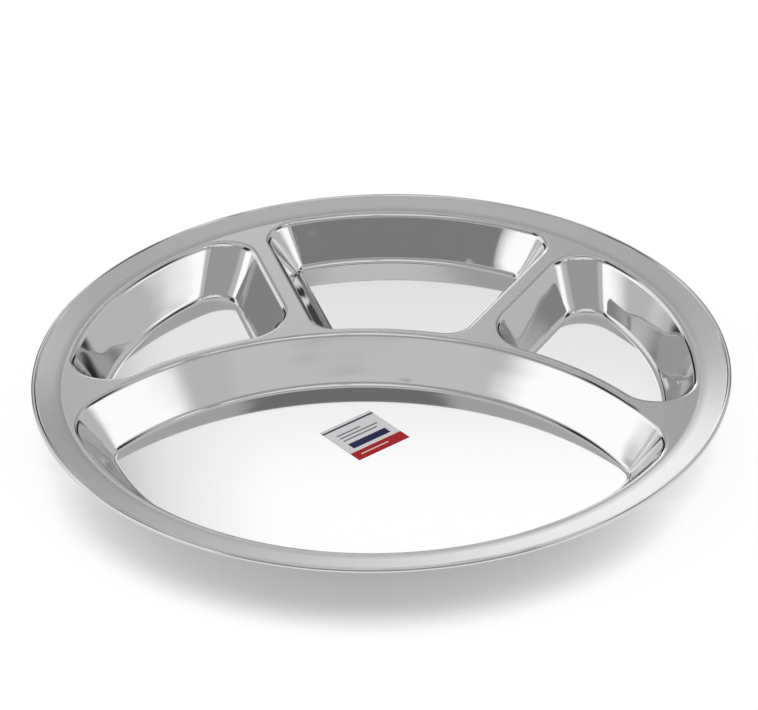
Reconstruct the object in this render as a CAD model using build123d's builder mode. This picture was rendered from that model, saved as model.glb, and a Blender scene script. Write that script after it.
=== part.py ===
# Round serving plate pressed from one steel sheet, with four wells and a curled edge.
# Millimetres. Z is up, and the origin is under the middle of the plate, on the surface that it stands on.
# The large well is on the -Y side and the three small wells are on the +Y side. The tray mirrors about YZ.
from build123d import *
from math import acos, cos, degrees, radians, sin, tan
import os

os.makedirs("parts", exist_ok=True)

# Sheet and overall size
plate_radius = 165.5
sheet = 0.6
well_depth = 20.0

# Edge of the plate: the flange rises outwards, and its rim is curled under into a hollow bead
flange_width = 17.0
flange_slope = 11.2
flange_bend = 5.0
rim_land = 0.2
curl_radius = 1.2
curl_gap = 0.6

# Ridges that part the wells: one long arc across the plate, and two spokes behind it
ridge_radius = 160.6
ridge_crest = 35.8
ridge_land = 1.6
spoke_angle = 23.0
spoke_offset = 23.2
spoke_land = 6.2

# Draft of the walls, from the vertical
large_draft = 38.0
small_draft = 34.0

# Bends of the sheet, on its upper face
mouth_bend = 3.5
floor_bend = 4.0

# Corner radii of the wells, seen from above
large_tip = 28.0
large_tip_floor = 12.0
middle_front = 13.0
middle_back = 17.0
side_tip = 18.5
side_front = 24.0
side_back = 17.0
small_floor = 5.0
side_back_floor = 13.0

# Square label on the floor of the large well, set corner-on
label_side = 30.0
label_thickness = 0.15
label_turn = 45.0
label_x = -5.4
label_y = -25.7


# How far the bend at a well's mouth reaches onto the deck
def mouth_reach(draft):
    return mouth_bend * tan(radians(90 - draft) / 2)


deck_top = sheet + well_depth
well_radius = plate_radius - flange_width
ridge_centre = (0, ridge_crest - ridge_radius)
large_far = ridge_radius - ridge_land / 2 - mouth_reach(large_draft)
small_near = ridge_radius + ridge_land / 2 + mouth_reach(small_draft)
spoke_half = spoke_land / 2 + mouth_reach(small_draft)
half_plane = 2 * plate_radius


# A point on a line along one spoke, with its local X square to the spoke and away from the plate's middle
def spoke_line(offset, side):
    foot = (side * offset * cos(radians(spoke_angle)), -offset * sin(radians(spoke_angle)))
    return Location((*foot, 0), (0, 0, -spoke_angle if side > 0 else 180 + spoke_angle))


# Outline of the large well: inside the flange and inside the long ridge
def large_outline(height, inset, tip):
    with BuildSketch(Plane.XY.offset(height)) as outline:
        Circle(well_radius - inset)
        with Locations(ridge_centre):
            Circle(large_far - inset, mode=Mode.INTERSECT)
        fillet(outline.vertices(), tip)
    return outline.sketch


# Outline of the middle well, between the two spokes
def middle_outline(height, inset, front, back):
    with BuildSketch(Plane.XY.offset(height)) as outline:
        Circle(well_radius - inset)
        with Locations(ridge_centre):
            Circle(small_near + inset, mode=Mode.SUBTRACT)
        for side in (1, -1):
            with Locations(spoke_line(spoke_offset - spoke_half - inset, side)):
                Rectangle(half_plane, 2 * half_plane, align=(Align.MAX, Align.CENTER), mode=Mode.INTERSECT)
        fillet(outline.vertices().group_by(Axis.Y)[0], front)
        fillet(outline.vertices().group_by(Axis.Y)[-1], back)
    return outline.sketch


# Outline of the side well on +X, between a spoke, the long ridge and the flange
def side_outline(height, inset, tip, front, back):
    with BuildSketch(Plane.XY.offset(height)) as outline:
        with Locations(Rotation(0, 0, 180)):
            Circle(well_radius - inset)
        with Locations(ridge_centre):
            Circle(small_near + inset, mode=Mode.SUBTRACT)
        with Locations(spoke_line(spoke_offset + spoke_half + inset, 1)):
            Rectangle(half_plane, 2 * half_plane, align=(Align.MIN, Align.CENTER), mode=Mode.INTERSECT)
        corners = outline.vertices().sort_by(Axis.Y)
        for corner, radius in zip(corners, (tip, front, back)):
            fillet(outline.vertices().sort_by_distance(corner)[0], radius)
    return outline.sketch


# Solid of a well: its hollow where skin is 0, and the outside of its sheet where skin is the sheet's thickness
def well(outline, draft, mouth_corners, floor_corners, skin):
    floor = sheet - skin
    outward = skin / cos(radians(draft))
    run = (deck_top - floor) * tan(radians(draft))
    mouth = outline(deck_top, -outward, *[radius + outward for radius in mouth_corners])
    foot = outline(floor, run - outward, *[radius + outward for radius in floor_corners])
    with BuildPart() as block:
        loft(sections=[foot, mouth], ruled=True)
        fillet(block.faces().sort_by(Axis.Z)[0].edges(), floor_bend + skin)
    return block.part


def all_wells(skin):
    large = well(large_outline, large_draft, [large_tip], [large_tip_floor], skin)
    middle = well(middle_outline, small_draft, [middle_front, middle_back], [small_floor] * 2, skin)
    side_mouth = [side_tip, side_front, side_back]
    side_foot = [small_floor, small_floor, side_back_floor]
    side = well(side_outline, small_draft, side_mouth, side_foot, skin)
    return [large, middle, side, mirror(side, about=Plane.YZ)]


well_outsides = all_wells(sheet)
well_hollows = all_wells(0)

# Pressed tray: deck, flange and curl are one revolved section, and the wells are sunk into the deck
with BuildPart() as pressed_tray:
    bend_start = well_radius + mouth_reach(min(large_draft, small_draft)) + rim_land
    curl_start = plate_radius - curl_radius * (1 + sin(radians(flange_slope)))
    curl_turn = 360 - degrees(acos(1 - (sheet + curl_gap) / curl_radius))
    with BuildSketch(Plane.XZ):
        with BuildLine():
            deck = Line((0, deck_top), (bend_start, deck_top))
            bend = JernArc(deck @ 1, deck % 1, flange_bend, flange_slope)
            flange_length = (curl_start - (bend @ 1).X) / cos(radians(flange_slope))
            flange = PolarLine(bend @ 1, flange_length, flange_slope)
            JernArc(flange @ 1, flange % 1, curl_radius, -curl_turn)
            offset(amount=sheet, side=Side.RIGHT)
        make_face()
    revolve(axis=Axis.Z)
    add(well_outsides)
    add(well_hollows, mode=Mode.SUBTRACT)
    deck_upper = pressed_tray.faces().filter_by(Plane.XY).sort_by(Axis.Z)[-1]
    fillet([mouth.edges() for mouth in deck_upper.inner_wires()], mouth_bend)
    deck_under = pressed_tray.faces().filter_by(Plane.XY).sort_by(Axis.Z)[-2]
    fillet([mouth.edges() for mouth in deck_under.inner_wires()], mouth_bend - sheet)
pressed_tray.part.label = "pressed_tray"
export_step(pressed_tray.part, "parts/pressed_tray.step")

# Paper label, stuck flat on the floor of the large well
with BuildPart() as blank_label:
    with BuildSketch(Plane.XY.offset(sheet)):
        with Locations((label_x, label_y)):
            Rectangle(label_side, label_side, rotation=label_turn)
    extrude(amount=label_thickness)
blank_label.part.label = "blank_label"
export_step(blank_label.part, "parts/blank_label.step")
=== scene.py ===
import bmesh
import bpy
import math
from mathutils import Matrix, Vector


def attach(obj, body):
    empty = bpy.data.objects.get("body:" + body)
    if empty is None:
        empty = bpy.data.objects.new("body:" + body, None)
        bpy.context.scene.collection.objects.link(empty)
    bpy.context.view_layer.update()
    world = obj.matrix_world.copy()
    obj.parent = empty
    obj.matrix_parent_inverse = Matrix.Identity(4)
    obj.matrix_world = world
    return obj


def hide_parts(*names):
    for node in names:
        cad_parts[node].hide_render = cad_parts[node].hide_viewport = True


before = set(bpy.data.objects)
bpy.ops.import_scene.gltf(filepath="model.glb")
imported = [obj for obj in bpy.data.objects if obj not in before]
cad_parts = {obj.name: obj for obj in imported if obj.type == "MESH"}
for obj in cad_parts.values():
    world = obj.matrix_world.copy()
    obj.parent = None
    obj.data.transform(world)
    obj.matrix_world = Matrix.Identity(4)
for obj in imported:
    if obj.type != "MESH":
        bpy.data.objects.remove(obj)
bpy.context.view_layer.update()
scene = bpy.context.scene
scene.view_settings.view_transform = "Standard"
mm = 0.001


def hexColour(code):  # sRGB hex to linear
    parts = []
    for start in (0, 2, 4):
        level = int(code[start:start + 2], 16) / 255
        parts.append(level / 12.92 if level <= 0.04045 else ((level + 0.055) / 1.055) ** 2.4)
    return (*parts, 1.0)


def addNode(tree, kind, settings=None, inputs=None):  # one node, its settings, its links
    node = tree.nodes.new(kind)
    for name, value in (settings or {}).items():
        setattr(node, name, value)
    for socket, value in (inputs or {}).items():
        if isinstance(value, bpy.types.NodeSocket):
            tree.links.new(value, node.inputs[socket])
        else:
            node.inputs[socket].default_value = value
    return node


# Settings that many nodes share
add = {"operation": "ADD"}
subtract = {"operation": "SUBTRACT"}
multiply = {"operation": "MULTIPLY"}
multiplyAdd = {"operation": "MULTIPLY_ADD"}
divide = {"operation": "DIVIDE"}
divideFloor = {"operation": "DIVIDE_FLOOR"}
modulo = {"operation": "MODULO"}
absolute = {"operation": "ABSOLUTE"}
compare = {"operation": "COMPARE"}
scale = {"operation": "SCALE"}
mixColour = {"data_type": "RGBA"}
mixNumber = {"data_type": "FLOAT"}
smoothStep = {"interpolation_type": "SMOOTHSTEP"}
aboutZ = {"rotation_type": "Z_AXIS"}
noiseLow, noiseHigh = 0.3, 0.7  # most of a noise lies between these


def newTree(name, sizes):  # Geometry Nodes tree with its named inputs
    tree = bpy.data.node_groups.new(name, "GeometryNodeTree")
    for label, kind in sizes:
        tree.interface.new_socket(label, in_out="INPUT", socket_type="NodeSocket" + kind)
    tree.interface.new_socket("Skin", in_out="OUTPUT", socket_type="NodeSocketGeometry")
    return tree


def runTree(tree, mesh, values):  # plain mesh from a tree, with its inputs set by identifier
    holder = bpy.data.objects.new(tree.name, mesh)
    scene.collection.objects.link(holder)
    modifier = holder.modifiers.new(tree.name, "NODES")
    modifier.node_group = tree
    for item in tree.interface.items_tree:
        if item.in_out == "INPUT" and item.name in values:
            modifier[item.identifier] = values[item.name]
    bpy.context.view_layer.update()
    solved = holder.evaluated_get(bpy.context.evaluated_depsgraph_get())
    result = bpy.data.meshes.new_from_object(solved)
    holder.modifiers.remove(modifier)
    bpy.data.objects.remove(holder)
    return result


# Stainless steel sheet, pressed and buffed: mirror-like wells and bead, walls that swell a little and so
# bend what they mirror, and a satin deck and flange with fine turned lines, which draw the light out into
# an even grey; the deck's grey is painted darker than the flange's, a painted shade
steel = {
    "mirrorColour": "D8D8D8",
    "satinColour": "D2D2D2",
    # painted shade: the deck's steel is coloured darker than the flange's satin
    "deckPaintedShadeColour": "BEBEBE",
    "mirrorRoughness": 0.05,
    "satinRoughness": 0.2,
    "deckRoughness": 0.26,
    "underRoughness": 0.2,
    "underFrom": (0.0, -0.2),  # upward part of a normal, where the underside's finish starts and is full
    "satinFrom": (20.35, 20.58),  # mm above the ground, where the mirror turns into satin
    "flangeFrom": (20.65, 21.4),  # mm above the ground, where the deck turns into the flange
    "beadFrom": (162.9, 163.4),  # mm from the middle, where the bead is a mirror again
    "wallFrom": (1.0, 5.0),  # mm above the ground, floors below this stay flat
    "swell": ((22.0, 22.0, 22.0), 0.18),  # mm across, along and up, then mm high: slow swell of all walls
    "dents": ((16.0, 16.0, 30.0), 0.26),  # drawn corners are rougher
    "bands": ((70.0, 70.0, 5.0), 0.025),  # faint level bands of the drawn walls
    "dentReach": (20.0, 44.0),  # mm from the middle of a corner, where its dents fade and where they end
    "lineSpacing": 0.9,  # mm, real lines are finer than a pixel and are drawn wider to show
    "lineBreaks": 1.5,  # changes of a line on its way round
    "lineDetail": 3.0,
    "lineGrain": 0.6,
    "lineHeight": 0.0002,  # mm
    "lineRoughness": 0.015,
}


def polishedSteel(look, corners):
    material = bpy.data.materials.new("polishedStainlessSteel")
    material.use_nodes = True
    tree = material.node_tree
    shader = tree.nodes["Principled BSDF"]
    shader.inputs["Metallic"].default_value = 1.0

    # Where a point lies: in mm, how far from the middle, and on which finish
    place = addNode(tree, "ShaderNodeTexCoord").outputs["Object"]
    spot = addNode(tree, "ShaderNodeVectorMath", scale, {0: place, "Scale": 1 / mm}).outputs[0]
    parts = addNode(tree, "ShaderNodeSeparateXYZ", None, {0: spot}).outputs
    level = addNode(tree, "ShaderNodeCombineXYZ", None, {"X": parts["X"], "Y": parts["Y"]}).outputs[0]
    reach = addNode(tree, "ShaderNodeVectorMath", {"operation": "LENGTH"}, {0: level}).outputs["Value"]
    normal = addNode(tree, "ShaderNodeNewGeometry").outputs["Normal"]
    facing = addNode(tree, "ShaderNodeSeparateXYZ", None, {0: normal}).outputs["Z"]
    start, end = look["underFrom"]
    under = addNode(tree, "ShaderNodeMapRange", None,
                    {"Value": facing, "From Min": start, "From Max": end}).outputs[0]
    steps = {}
    for key, measure in (("satinFrom", parts["Z"]), ("flangeFrom", parts["Z"]), ("wallFrom", parts["Z"]),
                         ("beadFrom", reach)):
        start, end = look[key]
        steps[key] = addNode(tree, "ShaderNodeMapRange", smoothStep,
                             {"Value": measure, "From Min": start, "From Max": end}).outputs[0]
    notBead = addNode(tree, "ShaderNodeMath", subtract, {0: 1.0, 1: steps["beadFrom"]}).outputs[0]
    satin = addNode(tree, "ShaderNodeMath", multiply, {0: steps["satinFrom"], 1: notBead}).outputs[0]

    # Turned lines of the satin
    outward = addNode(tree, "ShaderNodeVectorMath", {"operation": "NORMALIZE"}, {0: level}).outputs[0]
    slow = addNode(tree, "ShaderNodeVectorMath", scale,
                   {0: outward, "Scale": look["lineBreaks"]}).outputs[0]
    across = addNode(tree, "ShaderNodeMath", divide, {0: reach, 1: look["lineSpacing"]}).outputs[0]
    rise = addNode(tree, "ShaderNodeCombineXYZ", None, {"Z": across}).outputs[0]
    turned = addNode(tree, "ShaderNodeVectorMath", add, {0: slow, 1: rise}).outputs[0]
    lines = addNode(tree, "ShaderNodeTexNoise", None,
                    {"Vector": turned, "Scale": 1.0, "Detail": look["lineDetail"],
                     "Roughness": look["lineGrain"]}).outputs["Fac"]

    # Colour and roughness
    # the deck gets the darker colour, a painted shade, and the flange the satin colour
    satinTone = addNode(tree, "ShaderNodeMix", mixColour,
                        {0: steps["flangeFrom"], 6: hexColour(look["deckPaintedShadeColour"]),
                         7: hexColour(look["satinColour"])}).outputs[2]
    colour = addNode(tree, "ShaderNodeMix", mixColour,
                     {0: satin, 6: hexColour(look["mirrorColour"]), 7: satinTone}).outputs[2]
    dull = addNode(tree, "ShaderNodeMix", mixNumber,
                   {0: steps["flangeFrom"], 2: look["deckRoughness"], 3: look["satinRoughness"]}).outputs[0]
    upper = addNode(tree, "ShaderNodeMix", mixNumber,
                    {0: satin, 2: look["mirrorRoughness"], 3: dull}).outputs[0]
    spread = addNode(tree, "ShaderNodeMapRange", None,
                     {"Value": lines, "From Min": noiseLow, "From Max": noiseHigh,
                      "To Min": -look["lineRoughness"], "To Max": look["lineRoughness"]}).outputs[0]
    lined = addNode(tree, "ShaderNodeMath", multiplyAdd, {0: spread, 1: satin, 2: upper}).outputs[0]
    roughness = addNode(tree, "ShaderNodeMix", mixNumber,
                        {0: under, 2: lined, 3: look["underRoughness"]}).outputs[0]

    # Relief of the walls, in mm, with dents near the corners
    notSatin = addNode(tree, "ShaderNodeMath", subtract, {0: 1.0, 1: satin}).outputs[0]
    wall = addNode(tree, "ShaderNodeMath", multiply, {0: steps["wallFrom"], 1: notSatin}).outputs[0]
    full, none = look["dentReach"]
    cornered = 0.0
    for corner in corners:
        apart = addNode(tree, "ShaderNodeVectorMath", {"operation": "DISTANCE"},
                        {0: level, 1: corner}).outputs["Value"]
        near = addNode(tree, "ShaderNodeMapRange", smoothStep,
                       {"Value": apart, "From Min": none, "From Max": full}).outputs[0]
        cornered = addNode(tree, "ShaderNodeMath", {"operation": "MAXIMUM"},
                           {0: cornered, 1: near}).outputs[0]
    relief = 0.0
    for key, where in (("swell", 1.0), ("dents", cornered), ("bands", 1.0)):
        length, height = look[key]
        sized = addNode(tree, "ShaderNodeVectorMath", divide, {0: spot, 1: length}).outputs[0]
        noise = addNode(tree, "ShaderNodeTexNoise", None,
                        {"Vector": sized, "Scale": 1.0, "Detail": 0.0}).outputs["Fac"]
        inOut = addNode(tree, "ShaderNodeMath", subtract, {0: noise, 1: 0.5}).outputs[0]
        tall = addNode(tree, "ShaderNodeMath", multiply, {0: inOut, 1: height}).outputs[0]
        relief = addNode(tree, "ShaderNodeMath", multiplyAdd, {0: tall, 1: where, 2: relief}).outputs[0]
    swollen = addNode(tree, "ShaderNodeMath", multiply, {0: wall, 1: relief}).outputs[0]
    wave = addNode(tree, "ShaderNodeBump", None,
                   {"Strength": 1.0, "Distance": mm, "Height": swollen}).outputs[0]
    scored = addNode(tree, "ShaderNodeMath", multiply, {0: satin, 1: lines}).outputs[0]
    fine = addNode(tree, "ShaderNodeBump", None,
                   {"Strength": 1.0, "Distance": look["lineHeight"] * mm, "Height": scored,
                    "Normal": wave}).outputs[0]
    tree.links.new(colour, shader.inputs["Base Color"])
    tree.links.new(roughness, shader.inputs["Roughness"])
    tree.links.new(fine, shader.inputs["Normal"])
    return material


# Pressed tray, millimetres: the sizes of the solids, apart from the rim,
# whose crease and proud bead are made here
tray = {
    "plateRadius": 165.5,
    "sheet": 0.6,
    "wellDepth": 20.0,
    "flangeWidth": 17.0,
    "flangeSlope": 10.0,  # degrees
    "flangeBend": 5.0,
    "rimLand": 0.2,
    "creaseRadius": 0.8,
    "creaseLift": 30.0,  # degrees
    "curlRadius": 1.2,
    "curlTurn": 285.0,  # degrees
    "ridgeRadius": 160.6,
    "ridgeCrest": 35.8,
    "ridgeLand": 1.6,
    "spokeAngle": 23.0,
    "spokeOffset": 23.2,
    "spokeLand": 6.2,
    "largeDraft": 38.0,
    "smallDraft": 34.0,
    "mouthBend": 3.5,
    "floorBend": 4.0,
    "largeTip": (28.0, 12.0),  # corner radii at the mouth and at the floor
    "middleFront": (13.0, 5.0),
    "middleBack": (17.0, 5.0),
    "sideTip": (18.5, 5.0),
    "sideFront": (24.0, 5.0),
    "sideBack": (17.0, 13.0),
    "flatRing": 0.02,  # flat strip beside each bend, keeps the shading of deck and floors flat
    "step": 2.2,  # length of a facet along a wall
    "fewestSteps": 6,
    "cornerSteps": 18,
    "bendSteps": 9,
    "rimSegments": 400,
    "curlSteps": 26,
    "weld": 0.002,  # points closer than this become one
    "levelSlack": 0.001,  # how far an edge may be off its level where the deck and floors are filled
}
deckTop = tray["sheet"] + tray["wellDepth"]
wellRadius = tray["plateRadius"] - tray["flangeWidth"]


def mouthReach(draft):  # how far the bend at a mouth reaches onto the deck
    return tray["mouthBend"] * math.tan(math.radians(90 - draft) / 2)


def movedSide(side, inset):  # a side of an outline, moved inwards
    kind, x, y, size, sense = side
    return (kind, x, y, size - sense * inset if kind == "circle" else size + inset, sense)


def nearestOn(side, point):
    kind, x, y, size = side[:4]
    if kind == "circle":
        return Vector((x, y)) + (point - Vector((x, y))).normalized() * size
    normal = Vector((x, y))
    return point + normal * (size - normal.dot(point))


def meetSides(first, second, guess):  # where two sides cross, nearest to the guess
    if first[0] == "line":
        first, second = second, first
    centre = Vector(first[1:3])
    away = Vector(second[1:3])
    if second[0] == "circle":
        away -= centre
        gap = away.length
        along = (gap * gap + first[3] ** 2 - second[3] ** 2) / (2 * gap)
        away.normalize()
    else:
        along = second[3] - away.dot(centre)
    half = math.sqrt(first[3] ** 2 - along ** 2)
    across = Vector((-away.y, away.x)) * half
    crossings = (centre + away * along + across, centre + away * along - across)
    return min(crossings, key=lambda p: (p - guess).length)


def roundedOutline(sides, corners, inset, level, counts):  # points of an outline, counter-clockwise
    fillets = []
    for k, (radii, guess) in enumerate(corners):
        radius = radii[level]
        ends = (sides[k], sides[(k + 1) % len(sides)])
        middle = meetSides(*[movedSide(side, inset + radius) for side in ends], Vector(guess))
        touch = [nearestOn(movedSide(side, inset), middle) for side in ends]
        fillets.append((middle, touch))
    points = []
    for k, side in enumerate(sides):
        start = fillets[k - 1][1][1]
        middle, (end, after) = fillets[k]
        runs = [(start, end, Vector(side[1:3]) if side[0] == "circle" else None, counts[k])]
        runs.append((end, after, middle, tray["cornerSteps"]))
        for here, there, pivot, count in runs:
            for i in range(count):
                share = i / count
                if pivot is None:
                    points.append(here.lerp(there, share))
                    continue
                arm = here - pivot
                last = there - pivot
                turn = math.atan2(arm.x * last.y - arm.y * last.x, arm.dot(last))
                points.append(pivot + Matrix.Rotation(turn * share, 2) @ arm)
    return points


ridgeY = tray["ridgeCrest"] - tray["ridgeRadius"]
smallReach = mouthReach(tray["smallDraft"])
largeFar = tray["ridgeRadius"] - tray["ridgeLand"] / 2 - mouthReach(tray["largeDraft"])
smallNear = tray["ridgeRadius"] + tray["ridgeLand"] / 2 + smallReach
spokeHalf = tray["spokeLand"] / 2 + smallReach
lean = math.radians(tray["spokeAngle"])
flangeSide = ("circle", 0, 0, wellRadius, 1)
farSide = ("circle", 0, ridgeY, largeFar, 1)
nearSide = ("circle", 0, ridgeY, smallNear, -1)
innerSpoke = tray["spokeOffset"] - spokeHalf
rightInner = ("line", -math.cos(lean), math.sin(lean), -innerSpoke, 1)
leftInner = ("line", math.cos(lean), math.sin(lean), -innerSpoke, 1)
rightOuter = ("line", math.cos(lean), -math.sin(lean), tray["spokeOffset"] + spokeHalf, 1)
wells = {  # sides counter-clockwise, then the corner after each side with a rough place
    "large": ([flangeSide, farSide], [(tray["largeTip"], (130, -55)), (tray["largeTip"], (-130, -55))]),
    "middle": (
        [nearSide, rightInner, flangeSide, leftInner],
        [(tray["middleFront"], (35, 40)), (tray["middleBack"], (70, 125)),
         (tray["middleBack"], (-70, 125)), (tray["middleFront"], (-35, 40))]),
    "right": (
        [nearSide, flangeSide, rightOuter],
        [(tray["sideTip"], (140, -20)), (tray["sideBack"], (95, 110)), (tray["sideFront"], (60, 40))]),
}


def cornerSpots():  # middle of each rounded corner that lies away from the long ridge, mm
    spots = []
    for name, (sides, corners) in wells.items():
        for k, (radii, guess) in enumerate(corners):
            if radii in (tray["middleFront"], tray["sideFront"]):
                continue
            ends = [movedSide(side, radii[0]) for side in (sides[k], sides[(k + 1) % len(sides)])]
            middle = meetSides(*ends, Vector(guess))
            spots.append((middle.x, middle.y, 0.0))
            if name == "right":
                spots.append((-middle.x, middle.y, 0.0))
    return spots


steelFinish = polishedSteel(steel, cornerSpots())
print("steel polished")


def wellOutlineMesh(name):  # mouth points, each with its step inwards per unit of run
    sides, corners = wells["right" if name == "left" else name]
    draft = tray["largeDraft" if name == "large" else "smallDraft"]
    run = tray["wellDepth"] * math.tan(math.radians(draft))
    coarse = roundedOutline(sides, corners, 0.0, 0, [1] * len(sides))
    counts = []
    for k in range(len(sides)):
        first = k * (1 + tray["cornerSteps"])
        steps = round((coarse[first + 1] - coarse[first]).length / tray["step"])
        counts.append(max(tray["fewestSteps"], steps))
    mouth = roundedOutline(sides, corners, 0.0, 0, counts)
    foot = roundedOutline(sides, corners, run, 1, counts)
    if name == "left":  # the left well mirrors the right one
        mouth = [Vector((-p.x, p.y)) for p in reversed(mouth)]
        foot = [Vector((-p.x, p.y)) for p in reversed(foot)]
    mesh = bpy.data.meshes.new(name + "Outline")
    mesh.from_pydata([(p.x * mm, p.y * mm, 0) for p in mouth], [], [])
    inward = mesh.attributes.new("inward", "FLOAT_VECTOR", "POINT")
    for i, (near, far) in enumerate(zip(mouth, foot)):
        inward.data[i].vector = (*((far - near) / run), 0)
    return mesh, run, draft


def wellTree():  # wall of a well: a rounded section carried along the outline of its mouth
    tree = newTree("wellWall", (
        ("Outline", "Geometry"), ("Deck Height", "Float"), ("Floor Height", "Float"), ("Run", "Float"),
        ("Mouth Bend", "Float"), ("Floor Bend", "Float"), ("Deck Ring", "Float"), ("Floor Ring", "Float"),
        ("Bend Steps", "Int"), ("Finish", "Material")))
    given = addNode(tree, "NodeGroupInput").outputs
    index = addNode(tree, "GeometryNodeInputIndex").outputs[0]
    place = addNode(tree, "GeometryNodeInputPosition").outputs[0]
    ringOut = addNode(tree, "ShaderNodeMath", multiply, {0: given["Deck Ring"], 1: -1.0})
    ringIn = addNode(tree, "ShaderNodeMath", add, {0: given["Run"], 1: given["Floor Ring"]})
    ends = []
    for across, up in ((ringOut.outputs[0], "Deck Height"), (0.0, "Deck Height"),
                       (given["Run"], "Floor Height"), (ringIn.outputs[0], "Floor Height")):
        ends.append(addNode(tree, "ShaderNodeCombineXYZ", None, {"X": across, "Y": given[up]}).outputs[0])
    sharp = addNode(tree, "GeometryNodeCurvePrimitiveQuadrilateral", {"mode": "POINTS"},
                    {"Point 1": ends[0], "Point 2": ends[1], "Point 3": ends[2], "Point 4": ends[3]})
    opened = addNode(tree, "GeometryNodeSetSplineCyclic", None, {0: sharp.outputs[0], "Cyclic": False})
    atMouth = addNode(tree, "ShaderNodeMath", compare, {0: index, 1: 1.0, 2: 0.1})
    bend = addNode(tree, "ShaderNodeMix", mixNumber,
                   {0: atMouth.outputs[0], 2: given["Floor Bend"], 3: given["Mouth Bend"]})
    rounded = addNode(tree, "GeometryNodeFilletCurve", {"mode": "POLY"},
                      {0: opened.outputs[0], "Count": given["Bend Steps"], "Radius": bend.outputs[0]})
    section = addNode(tree, "GeometryNodeCurveToMesh", None, {0: rounded.outputs[0]}).outputs[0]
    rows = addNode(tree, "GeometryNodeAttributeDomainSize", None, {0: section}).outputs[0]
    columns = addNode(tree, "GeometryNodeAttributeDomainSize", None, {0: given["Outline"]}).outputs[0]
    closed = addNode(tree, "FunctionNodeIntegerMath", add, {0: columns, 1: 1})
    grid = addNode(tree, "GeometryNodeMeshGrid", None,
                   {"Vertices X": closed.outputs[0], "Vertices Y": rows})
    column = addNode(tree, "FunctionNodeIntegerMath", divideFloor, {0: index, 1: rows})
    around = addNode(tree, "FunctionNodeIntegerMath", modulo, {0: column.outputs[0], 1: columns})
    row = addNode(tree, "FunctionNodeIntegerMath", modulo, {0: index, 1: rows})
    inward = addNode(tree, "GeometryNodeInputNamedAttribute", {"data_type": "FLOAT_VECTOR"},
                     {"Name": "inward"})
    read = []
    for source, value, which in ((section, place, row), (given["Outline"], place, around),
                                 (given["Outline"], inward.outputs[0], around)):
        read.append(addNode(tree, "GeometryNodeSampleIndex", {"data_type": "FLOAT_VECTOR"},
                            {0: source, 1: value, 2: which.outputs[0]}).outputs[0])
    spread = addNode(tree, "ShaderNodeSeparateXYZ", None, {0: read[0]})
    step = addNode(tree, "ShaderNodeVectorMath", scale, {0: read[2], "Scale": spread.outputs["X"]})
    flat = addNode(tree, "ShaderNodeVectorMath", add, {0: read[1], 1: step.outputs[0]})
    lift = addNode(tree, "ShaderNodeCombineXYZ", None, {"Z": spread.outputs["Y"]})
    spot = addNode(tree, "ShaderNodeVectorMath", add, {0: flat.outputs[0], 1: lift.outputs[0]})
    wall = addNode(tree, "GeometryNodeSetPosition", None, {0: grid.outputs[0], "Position": spot.outputs[0]})
    real = addNode(tree, "GeometryNodeRealizeInstances", None, {0: wall.outputs[0]})
    done = addNode(tree, "GeometryNodeSetMaterial", None,
                   {0: real.outputs[0], "Material": given["Finish"]})
    addNode(tree, "NodeGroupOutput", None, {0: done.outputs[0]})
    return tree


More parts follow.
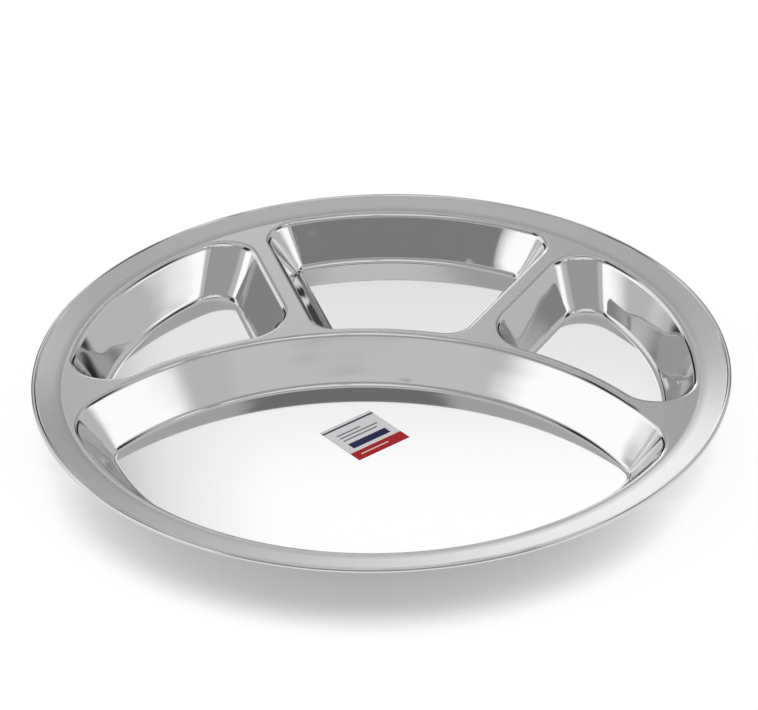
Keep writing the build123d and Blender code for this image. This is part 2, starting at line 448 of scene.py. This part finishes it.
def rimTree():  # flange, crease and curl: one section turned round the middle of the plate
    tree = newTree("rimAndCurl", (
        ("Outline", "Geometry"), ("Deck Height", "Float"), ("Deck Edge", "Float"), ("Deck Ring", "Float"),
        ("Bend Corner", "Float"), ("Flange Bend", "Float"), ("Flange End", "Vector"),
        ("Crease Centre", "Vector"), ("Crease Radius", "Float"), ("Crease From", "Float"),
        ("Crease Turn", "Float"), ("Crease Steps", "Int"), ("Curl Centre", "Vector"),
        ("Curl Radius", "Float"), ("Curl From", "Float"), ("Curl Turn", "Float"), ("Curl Steps", "Int"),
        ("Bend Steps", "Int"), ("Segments", "Int"), ("Finish", "Material")))
    given = addNode(tree, "NodeGroupInput").outputs
    index = addNode(tree, "GeometryNodeInputIndex").outputs[0]
    place = addNode(tree, "GeometryNodeInputPosition").outputs[0]
    ring = addNode(tree, "ShaderNodeMath", add, {0: given["Deck Edge"], 1: given["Deck Ring"]})
    ends = []
    for across in (given["Deck Edge"], ring.outputs[0], given["Bend Corner"]):
        ends.append(addNode(tree, "ShaderNodeCombineXYZ", None,
                            {"X": across, "Y": given["Deck Height"]}).outputs[0])
    sharp = addNode(tree, "GeometryNodeCurvePrimitiveQuadrilateral", {"mode": "POINTS"},
                    {"Point 1": ends[0], "Point 2": ends[1], "Point 3": ends[2],
                     "Point 4": given["Flange End"]})
    opened = addNode(tree, "GeometryNodeSetSplineCyclic", None, {0: sharp.outputs[0], "Cyclic": False})
    atBend = addNode(tree, "ShaderNodeMath", compare, {0: index, 1: 2.0, 2: 0.1})
    bend = addNode(tree, "ShaderNodeMath", multiply, {0: atBend.outputs[0], 1: given["Flange Bend"]})
    rounded = addNode(tree, "GeometryNodeFilletCurve", {"mode": "POLY"},
                      {0: opened.outputs[0], "Count": given["Bend Steps"], "Radius": bend.outputs[0]})
    sections = [addNode(tree, "GeometryNodeCurveToMesh", None, {0: rounded.outputs[0]}).outputs[0]]
    for bent in ("Crease ", "Curl "):
        arc = addNode(tree, "GeometryNodeCurveArc", {"mode": "RADIUS"},
                      {"Resolution": given[bent + "Steps"], "Radius": given[bent + "Radius"],
                       "Start Angle": given[bent + "From"], "Sweep Angle": given[bent + "Turn"]})
        moved = addNode(tree, "GeometryNodeSetPosition", None,
                        {0: arc.outputs[0], "Offset": given[bent + "Centre"]})
        sections.append(addNode(tree, "GeometryNodeCurveToMesh", None, {0: moved.outputs[0]}).outputs[0])
    rows = 0
    starts = []
    for section in sections:
        starts.append(rows)
        size = addNode(tree, "GeometryNodeAttributeDomainSize", None, {0: section}).outputs[0]
        rows = addNode(tree, "FunctionNodeIntegerMath", add, {0: size, 1: rows}).outputs[0]
    closed = addNode(tree, "FunctionNodeIntegerMath", add, {0: given["Segments"], 1: 1})
    grid = addNode(tree, "GeometryNodeMeshGrid", None,
                   {"Vertices X": closed.outputs[0], "Vertices Y": rows})
    column = addNode(tree, "FunctionNodeIntegerMath", divideFloor, {0: index, 1: rows})
    around = addNode(tree, "FunctionNodeIntegerMath", modulo, {0: column.outputs[0], 1: given["Segments"]})
    row = addNode(tree, "FunctionNodeIntegerMath", modulo, {0: index, 1: rows}).outputs[0]
    point = (0, 0, 0)
    for section, start in zip(sections, starts):
        later = addNode(tree, "FunctionNodeIntegerMath", subtract, {0: row, 1: start}).outputs[0]
        read = addNode(tree, "GeometryNodeSampleIndex", {"data_type": "FLOAT_VECTOR", "clamp": True},
                       {0: section, 1: place, 2: later}).outputs[0]
        inside = addNode(tree, "ShaderNodeMath", {"operation": "GREATER_THAN"},
                         {0: later, 1: -0.5}).outputs[0]
        point = addNode(tree, "ShaderNodeMix", {"data_type": "VECTOR"},
                        {0: inside, 4: point, 5: read}).outputs[1]
    spread = addNode(tree, "ShaderNodeSeparateXYZ", None, {0: point})
    upright = addNode(tree, "ShaderNodeCombineXYZ", None,
                      {"X": spread.outputs["X"], "Z": spread.outputs["Y"]})
    share = addNode(tree, "ShaderNodeMath", divide, {0: around.outputs[0], 1: given["Segments"]})
    turn = addNode(tree, "ShaderNodeMath", multiply, {0: share.outputs[0], 1: 2 * math.pi})
    spot = addNode(tree, "ShaderNodeVectorRotate", aboutZ,
                   {"Vector": upright.outputs[0], "Angle": turn.outputs[0]})
    skin = addNode(tree, "GeometryNodeSetPosition", None, {0: grid.outputs[0], "Position": spot.outputs[0]})
    real = addNode(tree, "GeometryNodeRealizeInstances", None, {0: skin.outputs[0]})
    done = addNode(tree, "GeometryNodeSetMaterial", None,
                   {0: real.outputs[0], "Material": given["Finish"]})
    addNode(tree, "NodeGroupOutput", None, {0: done.outputs[0]})
    return tree


def wellSkin(wall, name):  # wall of one well
    outline, run, draft = wellOutlineMesh(name)
    fold = math.radians(90 - draft) / 2
    return runTree(wall, outline, {
        "Deck Height": deckTop * mm,
        "Floor Height": tray["sheet"] * mm,
        "Run": run * mm,
        "Mouth Bend": tray["mouthBend"] * mm,
        "Floor Bend": tray["floorBend"] * mm,
        "Deck Ring": (mouthReach(draft) + tray["flatRing"]) * mm,
        "Floor Ring": (tray["floorBend"] * math.tan(fold) + tray["flatRing"]) * mm,
        "Bend Steps": tray["bendSteps"],
        "Finish": steelFinish,
    })


def rimSkin():  # flange, crease and curl, from the deck outwards
    slope = math.radians(tray["flangeSlope"])
    steep = slope + math.radians(tray["creaseLift"])
    crease = tray["creaseRadius"]
    curl = tray["curlRadius"]
    bendStart = wellRadius + smallReach + tray["rimLand"]
    bendCorner = bendStart + tray["flangeBend"] * math.tan(slope / 2)
    curlX = tray["plateRadius"] - curl
    startX = curlX - curl * math.sin(steep) - crease * (math.sin(steep) - math.sin(slope))
    startY = deckTop + (startX - bendCorner) * math.tan(slope)
    creaseX = startX - crease * math.sin(slope)
    creaseY = startY + crease * math.cos(slope)
    curlY = creaseY - (crease + curl) * math.cos(steep)
    return runTree(rimTree(), bpy.data.meshes.new("rimHolder"), {
        "Deck Height": deckTop * mm,
        "Deck Edge": (bendStart - 2 * tray["flatRing"]) * mm,
        "Deck Ring": tray["flatRing"] * mm,
        "Bend Corner": bendCorner * mm,
        "Flange Bend": tray["flangeBend"] * mm,
        "Flange End": (startX * mm, startY * mm, 0),
        "Crease Centre": (creaseX * mm, creaseY * mm, 0),
        "Crease Radius": crease * mm,
        "Crease From": slope - math.pi / 2,
        "Crease Turn": steep - slope,
        "Crease Steps": tray["bendSteps"],
        "Curl Centre": (curlX * mm, curlY * mm, 0),
        "Curl Radius": curl * mm,
        "Curl From": steep + math.pi / 2,
        "Curl Turn": -math.radians(tray["curlTurn"]),
        "Curl Steps": tray["curlSteps"],
        "Bend Steps": tray["bendSteps"],
        "Segments": tray["rimSegments"],
        "Finish": steelFinish,
    })


def pressedTray():
    skin = bmesh.new()
    wall = wellTree()
    for name in ("large", "middle", "right", "left"):
        skin.from_mesh(wellSkin(wall, name))
    skin.from_mesh(rimSkin())
    bmesh.ops.remove_doubles(skin, verts=skin.verts, dist=tray["weld"] * mm)
    bmesh.ops.scale(skin, vec=(1 / mm, 1 / mm, 1 / mm), verts=skin.verts)  # a fill in metres is too coarse
    for height in (deckTop, tray["sheet"]):  # flat deck, then flat floors
        edges = []
        for edge in skin.edges:
            if edge.is_boundary and all(abs(v.co.z - height) < tray["levelSlack"] for v in edge.verts):
                edges.append(edge)
        bmesh.ops.triangle_fill(skin, use_beauty=True, edges=edges, normal=(0, 0, 1))
    bmesh.ops.scale(skin, vec=(mm, mm, mm), verts=skin.verts)
    bmesh.ops.recalc_face_normals(skin, faces=skin.faces)
    widest = max((f for f in skin.faces if abs(f.normal.z) > 0.999), key=lambda f: f.calc_area())
    if widest.normal.z < 0:  # flat faces look up
        bmesh.ops.reverse_faces(skin, faces=skin.faces)
    for face in skin.faces:
        face.smooth = True
    mesh = bpy.data.meshes.new("pressedTray")
    skin.to_mesh(mesh)
    skin.free()
    mesh.materials.append(steelFinish)
    piece = bpy.data.objects.new("pressedTray", mesh)
    scene.collection.objects.link(piece)
    shell = piece.modifiers.new("sheet", "SOLIDIFY")
    shell.thickness = tray["sheet"] * mm
    shell.offset = -1
    shell.use_even_offset = False
    shading = piece.modifiers.new("shading", "WEIGHTED_NORMAL")  # wide faces keep their own normals
    shading.weight = 100
    solved = piece.evaluated_get(bpy.context.evaluated_depsgraph_get())
    solid = bpy.data.meshes.new_from_object(solved)
    piece.modifiers.clear()
    piece.data = solid
    return piece


trayPiece = pressedTray()
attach(trayPiece, "root")
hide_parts("pressed_tray")
print("tray", len(trayPiece.data.polygons), "faces")

# Coated paper label, printed: pale ground with plain red, blue and grey stripes, thin and faintly glossy
label = {
    "ground": "FEFDFD",
    "red": "C8000F",
    "blue": "10175A",
    "grey": "6E7486",
    "centre": (-5.4, -25.7),  # mm
    "turn": 45.0,  # degrees
    "stripes": [  # colour, then the place and half size along each side of the square, mm
        ("red", 0.0, 15.2, -11.8, 3.4),
        ("ground", -3.0, 8.0, -11.6, 0.35),
        ("blue", 0.0, 11.0, -3.6, 2.3),
        ("grey", -1.0, 10.0, 1.9, 0.45),
        ("grey", 0.0, 11.0, 4.5, 0.45),
        ("grey", -4.0, 7.0, 7.1, 0.45),
        ("blue", 0.0, 15.2, 12.6, 0.6),
    ],
    "inkEdge": 0.1,  # mm, half the width over which ink fades
    "roughness": 0.45,
    "shine": 0.25,
    "fibre": 0.35,  # mm
    "fibreDetail": 3.0,
    "fibreShade": (0.93, 1.03),
    "fibreDull": (-0.05, 0.07),
    "fibreHeight": 0.004,  # mm
}


def labelPaper(look):
    material = bpy.data.materials.new("printedCoatedPaper")
    material.use_nodes = True
    tree = material.node_tree
    shader = tree.nodes["Principled BSDF"]
    place = addNode(tree, "ShaderNodeTexCoord").outputs["Object"]
    spot = addNode(tree, "ShaderNodeVectorMath", scale, {0: place, "Scale": 1 / mm}).outputs[0]
    moved = addNode(tree, "ShaderNodeVectorMath", subtract,
                    {0: spot, 1: (*look["centre"], 0.0)}).outputs[0]
    fibre = addNode(tree, "ShaderNodeTexNoise", None,
                    {"Vector": spot, "Scale": 1 / look["fibre"],
                     "Detail": look["fibreDetail"]}).outputs["Fac"]
    squared = addNode(tree, "ShaderNodeVectorRotate", aboutZ,
                      {"Vector": moved, "Angle": -math.radians(look["turn"])}).outputs[0]
    axes = addNode(tree, "ShaderNodeSeparateXYZ", None, {0: squared}).outputs
    ink = hexColour(look["ground"])
    for colour, along, halfLength, up, halfWidth in look["stripes"]:
        covers = []
        for axis, middle, half in (("X", along, halfLength), ("Y", up, halfWidth)):
            away = addNode(tree, "ShaderNodeMath", subtract, {0: axes[axis], 1: middle}).outputs[0]
            far = addNode(tree, "ShaderNodeMath", absolute, {0: away}).outputs[0]
            covers.append(addNode(tree, "ShaderNodeMapRange", None,
                                  {"Value": far, "From Min": half + look["inkEdge"],
                                   "From Max": half - look["inkEdge"]}).outputs[0])
        both = addNode(tree, "ShaderNodeMath", multiply, {0: covers[0], 1: covers[1]}).outputs[0]
        ink = addNode(tree, "ShaderNodeMix", mixColour,
                      {0: both, 6: ink, 7: hexColour(look[colour])}).outputs[2]
    pale, bright = look["fibreShade"]
    shade = addNode(tree, "ShaderNodeMapRange", None,
                    {"Value": fibre, "From Min": noiseLow, "From Max": noiseHigh,
                     "To Min": pale, "To Max": bright}).outputs[0]
    tinted = addNode(tree, "ShaderNodeVectorMath", scale, {0: ink, "Scale": shade}).outputs[0]
    glossier, duller = look["fibreDull"]
    gloss = addNode(tree, "ShaderNodeMapRange", None,
                    {"Value": fibre, "From Min": noiseLow, "From Max": noiseHigh,
                     "To Min": look["roughness"] + glossier, "To Max": look["roughness"] + duller}).outputs[0]
    grain = addNode(tree, "ShaderNodeBump", None,
                    {"Strength": 1.0, "Distance": look["fibreHeight"] * mm, "Height": fibre}).outputs[0]
    tree.links.new(tinted, shader.inputs["Base Color"])
    tree.links.new(gloss, shader.inputs["Roughness"])
    tree.links.new(grain, shader.inputs["Normal"])
    shader.inputs["Specular IOR Level"].default_value = look["shine"]
    return material


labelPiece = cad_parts["blank_label"]
labelPiece.data.materials.clear()
labelPiece.data.materials.append(labelPaper(label))
print("label printed")

# Camera, from the plate's outline in the picture
view = {
    "target": (-2.409, 13.618, 20.6),  # mm
    "azimuth": 7.03,  # degrees
    "elevation": 32.2,
    "roll": -1.49,
    "distance": 1700.0,  # mm
    "lens": 169.26,
    "sensor": 36.0,
    "clip": (0.05, 50.0),  # m
}


def placeCamera():
    data = bpy.data.cameras.new("camera")
    data.sensor_width = view["sensor"]
    data.sensor_fit = "HORIZONTAL"
    data.lens = view["lens"]
    data.clip_start, data.clip_end = view["clip"]
    camera = bpy.data.objects.new("camera", data)
    turn, rise, tilt = [math.radians(view[key]) for key in ("azimuth", "elevation", "roll")]
    right = Vector((math.cos(turn), math.sin(turn), 0))
    back = Vector((math.sin(turn) * math.cos(rise), -math.cos(turn) * math.cos(rise), math.sin(rise)))
    up = back.cross(right)
    across = right * math.cos(tilt) + up * math.sin(tilt)
    above = up * math.cos(tilt) - right * math.sin(tilt)
    axes = Matrix((across, above, back)).transposed().to_4x4()
    spot = (Vector(view["target"]) + back * view["distance"]) * mm
    camera.matrix_world = Matrix.Translation(spot) @ axes
    scene.collection.objects.link(camera)
    scene.camera = camera


placeCamera()
print("camera placed")

# Pale floor, white to the camera and to reflections,
# with the soft shadow that the plate throws towards the camera: real in the floor's diffuse light, and
# painted into its glow from ambient occlusion near the plate
floor = {
    "half": 12.0,  # m
    "drop": 0.00002,  # m, keeps it clear of the plate's underside
    "colour": "A5A5A5",
    "glow": 0.79,
    "shadowReach": 0.06,  # m
    "shadowLean": (8.0, 66.0),  # degrees to the right of straight behind the plate, degrees from upright
    "shadowSamples": 24,
    "openFrom": (0.3, 0.63),  # share of open sky, where the shadow is full and where it ends
    "paintedShadowLevel": 0.37,
}


def paleFloor(look):
    half = look["half"]
    corners = ((-half, -half), (half, -half), (half, half), (-half, half))
    mesh = bpy.data.meshes.new("floor")
    mesh.from_pydata([(x, y, -look["drop"]) for x, y in corners], [], [(0, 1, 2, 3)])
    material = bpy.data.materials.new("matteWhiteFloor")
    material.use_nodes = True
    tree = material.node_tree
    tree.nodes.clear()
    path = addNode(tree, "ShaderNodeLightPath").outputs
    seen = addNode(tree, "ShaderNodeMath", add,
                   {0: path["Is Camera Ray"], 1: path["Is Glossy Ray"]}).outputs[0]
    shown = addNode(tree, "ShaderNodeMath", {"operation": "ADD", "use_clamp": True},
                    {0: seen, 1: path["Is Transmission Ray"]}).outputs[0]
    turn, tilt = [math.radians(angle) for angle in look["shadowLean"]]
    turn -= math.radians(view["azimuth"])
    upright = addNode(tree, "ShaderNodeNewGeometry").outputs["Normal"]
    leaning = addNode(tree, "ShaderNodeVectorRotate", {"rotation_type": "AXIS_ANGLE"},  # back over the plate
                      {"Vector": upright, "Axis": (-math.cos(turn), math.sin(turn), 0),
                       "Angle": tilt}).outputs[0]
    # painted shadow: ambient occlusion, leaning back over the plate, darkens the floor's glow near the plate
    openSky = addNode(tree, "ShaderNodeAmbientOcclusion", {"samples": look["shadowSamples"]},
                      {"Distance": look["shadowReach"], "Normal": leaning}).outputs["AO"]
    low, high = look["openFrom"]
    paintedShadowShare = addNode(tree, "ShaderNodeMapRange", None,
                  {"Value": openSky, "From Min": low, "From Max": high,
                   "To Min": look["paintedShadowLevel"], "To Max": 1.0}).outputs[0]
    glow = addNode(tree, "ShaderNodeMath", multiply, {0: paintedShadowShare, 1: look["glow"]}).outputs[0]
    strength = addNode(tree, "ShaderNodeMath", multiply, {0: shown, 1: glow}).outputs[0]
    paint = addNode(tree, "ShaderNodeBsdfDiffuse", None, {"Color": hexColour(look["colour"])})
    light = addNode(tree, "ShaderNodeEmission", None, {"Color": (1, 1, 1, 1), "Strength": strength})
    both = addNode(tree, "ShaderNodeAddShader", None, {0: paint.outputs[0], 1: light.outputs[0]})
    addNode(tree, "ShaderNodeOutputMaterial", None, {"Surface": both.outputs[0]})
    mesh.materials.append(material)
    piece = bpy.data.objects.new("floor", mesh)
    scene.collection.objects.link(piece)
    return piece


# Studio round the plate: soft panels of light and shade far away, which the steel mirrors
# Where panels overlap, the later one shows
studio = {
    "base": 0.65,
    "panels": [  # degrees from straight behind, degrees up, half width, half height, soft edge, level
        (-141.3, 24.9, 14.5, 17.6, 8.1, 0.71),  # left rear
        (141.5, 24.9, 13.5, 17.6, 7.8, 0.65),  # right rear
        (-44.7, 27.2, 16.8, 18.0, 7.9, 1.06),  # left front
        (42.7, 29.3, 13.5, 14.2, 8.0, 0.68),  # right front
        (-92.1, 63.3, 36.3, 15.5, 8.6, 0.40),  # left high
        (89.6, 63.0, 38.4, 12.6, 7.9, 0.61),  # right high
        (-94.5, 26.8, 32.7, 9.3, 5.5, 1.41),  # left box
        (95.8, 30.1, 23.2, 7.1, 9.9, 1.40),  # right box
        (181.8, 44.0, 45.2, 7.0, 7.9, 0.72),  # behind camera high
        (181.8, 49.0, 50.0, 4.0, 4.0, 0.42),  # behind camera higher
        (180.8, 21.0, 49.1, 15.0, 1.6, 0.27),  # behind camera dark
        (180.0, 33.7, 38.0, 4.9, 1.2, 0.27),  # behind camera dark top
        (180.0, 36.5, 24.0, 4.1, 1.2, 0.27),  # behind camera dark crown
        (-0.4, 28.5, 34.9, 14.5, 10.0, 0.50),  # behind the plate
        (179.0, 65.1, 81.8, 16.0, 6.0, 0.44),  # above camera dark
        (-1.2, 91.3, 174.3, 16.0, 10.8, 1.00),  # top
        (-0.7, 70.5, 25.0, 5.0, 3.0, 0.28),  # over back dark
        (-57.0, 50.0, 20.0, 6.5, 4.0, 0.04),  # left gap
        (59.0, 50.5, 19.0, 6.5, 4.0, 0.05),  # right gap
        (68.0, 68.5, 9.0, 5.5, 1.5, 1.50),  # right high light
        (70.0, 69.6, 10.0, 1.5, 1.2, 0.04),  # right high dark
        (-29.0, 8.0, 14.0, 11.0, 4.0, 0.03),  # left low gap
        (28.0, 8.0, 14.0, 11.0, 4.0, 0.03),  # right low gap
        (0.0, 1.0, 70.0, 3.0, 3.0, 0.06),  # horizon gap
        (10.5, 25.5, 4.5, 5.5, 3.0, 0.08),  # low right dark
        (-9.5, 15.2, 6.8, 9.0, 5.0, 1.72),  # low left strip
        (-4.0, 20.0, 4.0, 9.0, 3.0, 1.50),  # low strip
        (0.5, 33.2, 5.6, 3.0, 2.5, 1.12),  # strip
        (1.7, 35.2, 5.0, 2.0, 3.0, 1.45),  # strip upper
    ],
}


def studioLight(look):
    world = bpy.data.worlds.new("studio")
    world.use_nodes = True
    tree = world.node_tree
    tree.nodes.clear()
    ray = addNode(tree, "ShaderNodeTexCoord").outputs["Generated"]
    turned = addNode(tree, "ShaderNodeVectorRotate", aboutZ,
                     {"Vector": ray, "Angle": -math.radians(view["azimuth"])}).outputs[0]
    parts = addNode(tree, "ShaderNodeSeparateXYZ", None, {0: turned}).outputs
    heading = addNode(tree, "ShaderNodeMath", {"operation": "ARCTAN2"},
                      {0: parts["X"], 1: parts["Y"]}).outputs[0]
    up = addNode(tree, "ShaderNodeMath", {"operation": "ARCSINE"}, {0: parts["Z"]}).outputs[0]
    level = look["base"]
    for azimuth, elevation, halfWidth, halfHeight, soft, strength in look["panels"]:
        aside = addNode(tree, "ShaderNodeMath", subtract, {0: heading, 1: math.radians(azimuth)}).outputs[0]
        within = addNode(tree, "ShaderNodeMath", {"operation": "WRAP"},
                         {0: aside, 1: math.pi, 2: -math.pi}).outputs[0]
        above = addNode(tree, "ShaderNodeMath", subtract, {0: up, 1: math.radians(elevation)}).outputs[0]
        covers = []
        for away, half in ((within, halfWidth), (above, halfHeight)):
            far = addNode(tree, "ShaderNodeMath", absolute, {0: away}).outputs[0]
            covers.append(addNode(tree, "ShaderNodeMapRange", smoothStep,
                                  {"Value": far, "From Min": math.radians(half + soft / 2),
                                   "From Max": math.radians(half - soft / 2)}).outputs[0])
        both = addNode(tree, "ShaderNodeMath", multiply, {0: covers[0], 1: covers[1]}).outputs[0]
        level = addNode(tree, "ShaderNodeMix", mixNumber, {0: both, 2: level, 3: strength}).outputs[0]
    sky = addNode(tree, "ShaderNodeBackground", None, {"Color": (1, 1, 1, 1), "Strength": level})
    addNode(tree, "ShaderNodeOutputWorld", None, {"Surface": sky.outputs[0]})
    scene.world = world


paleFloor(floor)
studioLight(studio)
print("floor and studio placed")
